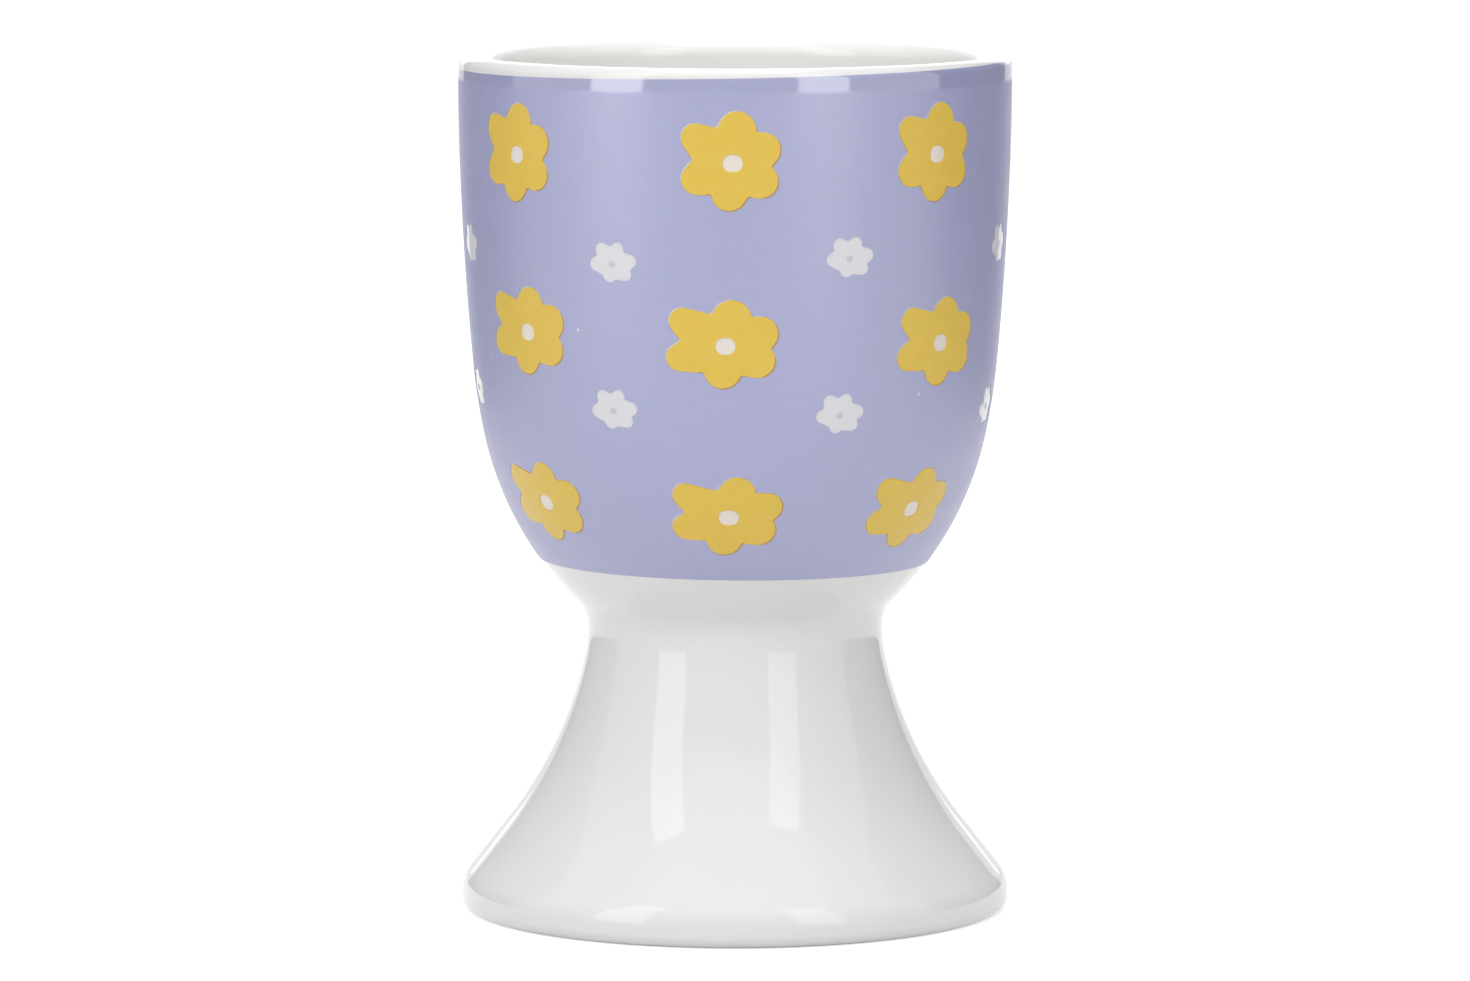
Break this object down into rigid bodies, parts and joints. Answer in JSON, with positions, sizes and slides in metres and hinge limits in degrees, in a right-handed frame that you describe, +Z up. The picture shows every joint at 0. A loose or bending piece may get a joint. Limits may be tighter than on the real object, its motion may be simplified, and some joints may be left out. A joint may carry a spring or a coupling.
{
  "type": "egg cup",
  "caption": "Footed porcelain egg cup with a hollow flared foot and a lilac print of yellow and white flowers round the bowl.",
  "frame": {"origin": "middle of the ring that the cup rests on, in the plane of the table", "axes": "+Z up along the cup's axis, -Y towards the viewer of the front, +X to the viewer's right"},
  "size_m": [0.0502, 0.0502, 0.0779],
  "materials": {
    "porcelain": "gloss glaze",
    "lilac_print": "gloss print",
    "yellow_print": "gloss print",
    "grey_print": "gloss print"
  },
  "bodies": {
    "root": {"bowl": "porcelain", "slip_joint": "porcelain", "foot": "porcelain", "lilac_ground": "lilac_print", "yellow_flower_top_1": "yellow_print", "yellow_flower_top_2": "yellow_print", "yellow_flower_top_3": "yellow_print", "yellow_flower_top_4": "yellow_print", "yellow_flower_top_5": "yellow_print", "yellow_flower_top_6": "yellow_print", "yellow_flower_top_7": "yellow_print", "yellow_flower_middle_1": "yellow_print", "yellow_flower_middle_2": "yellow_print", "yellow_flower_middle_3": "yellow_print", "yellow_flower_middle_4": "yellow_print", "yellow_flower_middle_5": "yellow_print", "yellow_flower_middle_6": "yellow_print", "yellow_flower_middle_7": "yellow_print", "yellow_flower_bottom_1": "yellow_print", "yellow_flower_bottom_2": "yellow_print", "yellow_flower_bottom_3": "yellow_print", "yellow_flower_bottom_4": "yellow_print", "yellow_flower_bottom_5": "yellow_print", "yellow_flower_bottom_6": "yellow_print", "yellow_flower_bottom_7": "yellow_print", "white_flower_dot_upper_1": "grey_print", "white_flower_dot_upper_2": "grey_print", "white_flower_dot_upper_3": "grey_print", "white_flower_dot_upper_4": "grey_print", "white_flower_dot_upper_5": "grey_print", "white_flower_dot_upper_6": "grey_print", "white_flower_dot_upper_7": "grey_print", "white_flower_dot_lower_1": "grey_print", "white_flower_dot_lower_2": "grey_print", "white_flower_dot_lower_3": "grey_print", "white_flower_dot_lower_4": "grey_print", "white_flower_dot_lower_5": "grey_print", "white_flower_dot_lower_6": "grey_print", "white_flower_dot_lower_7": "grey_print"}
  },
  "joints": []
}
